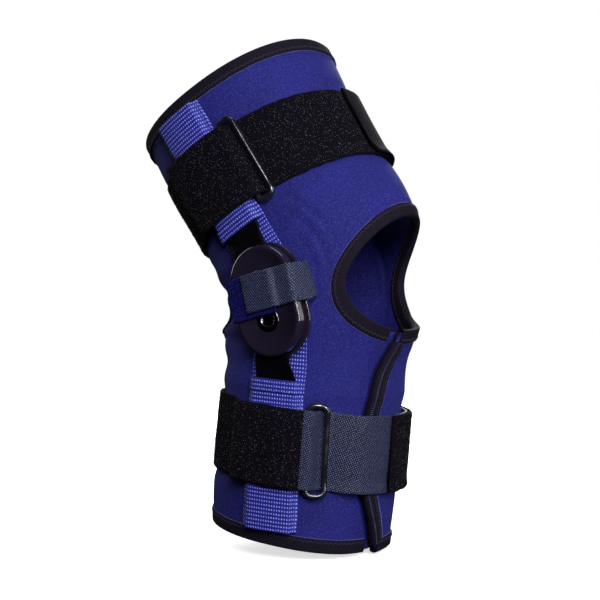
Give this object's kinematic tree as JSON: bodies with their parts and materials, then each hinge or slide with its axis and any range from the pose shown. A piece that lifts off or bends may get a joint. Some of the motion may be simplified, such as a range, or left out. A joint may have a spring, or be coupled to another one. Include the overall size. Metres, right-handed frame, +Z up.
{
  "type": "hinged knee brace",
  "caption": "Wraparound knee brace of neoprene with an open patella, twin-pivot side hinges with flat bars in webbing pockets, and hook-and-loop straps through wire rings.",
  "frame": {"origin": "midway between the two hinges, on the axis across the knee", "axes": "+X to the front of the knee, -Y to the side with the rings, +Z up; the calf half leans 4.5 degrees forward and the thigh half 31.5 degrees back from upright"},
  "size_m": [0.1878, 0.1616, 0.336],
  "materials": {
    "neoprene": "navy blue jersey on foam",
    "binding": "black folded tape",
    "webbing": "ribbed blue nylon webbing",
    "pile": "black loop pile",
    "hook": "blue-grey woven hook tape",
    "blue_pile": "blue loop pile",
    "hinge_plastic": "black semi-gloss moulded plastic",
    "stay_metal": "black coated bar",
    "rivet_steel": "tubular rivet",
    "ring_wire": "black coated wire"
  },
  "bodies": {
    "root": {"sleeve": "neoprene", "top_binding": "binding", "popliteal_binding": "binding", "bottom_binding": "binding", "patella_binding": "binding", "flap_binding": "binding", "thigh_strap_end": "binding", "ring_tab_thigh": "binding", "ring_tab_calf": "binding", "side_tape_near": "webbing", "side_tape_far": "webbing", "pocket_thigh_near": "webbing", "pocket_thigh_far": "webbing", "pocket_calf_near": "webbing", "pocket_calf_far": "webbing", "thigh_strap": "pile", "calf_strap": "pile", "calf_strap_hook": "hook", "hinge_hook_near": "hook", "hinge_hook_far": "hook", "hinge_loop_near": "blue_pile", "hinge_loop_far": "blue_pile", "hinge_plate_near": "hinge_plastic", "hinge_plate_far": "hinge_plastic", "hinge_cover_near": "hinge_plastic", "hinge_cover_far": "hinge_plastic", "stay_thigh_near": "stay_metal", "stay_thigh_far": "stay_metal", "stay_calf_near": "stay_metal", "stay_calf_far": "stay_metal", "rivet_thigh_near": "rivet_steel", "rivet_thigh_far": "rivet_steel", "rivet_calf_near": "rivet_steel", "rivet_calf_far": "rivet_steel", "thigh_ring": "ring_wire", "calf_ring": "ring_wire"}
  },
  "joints": []
}
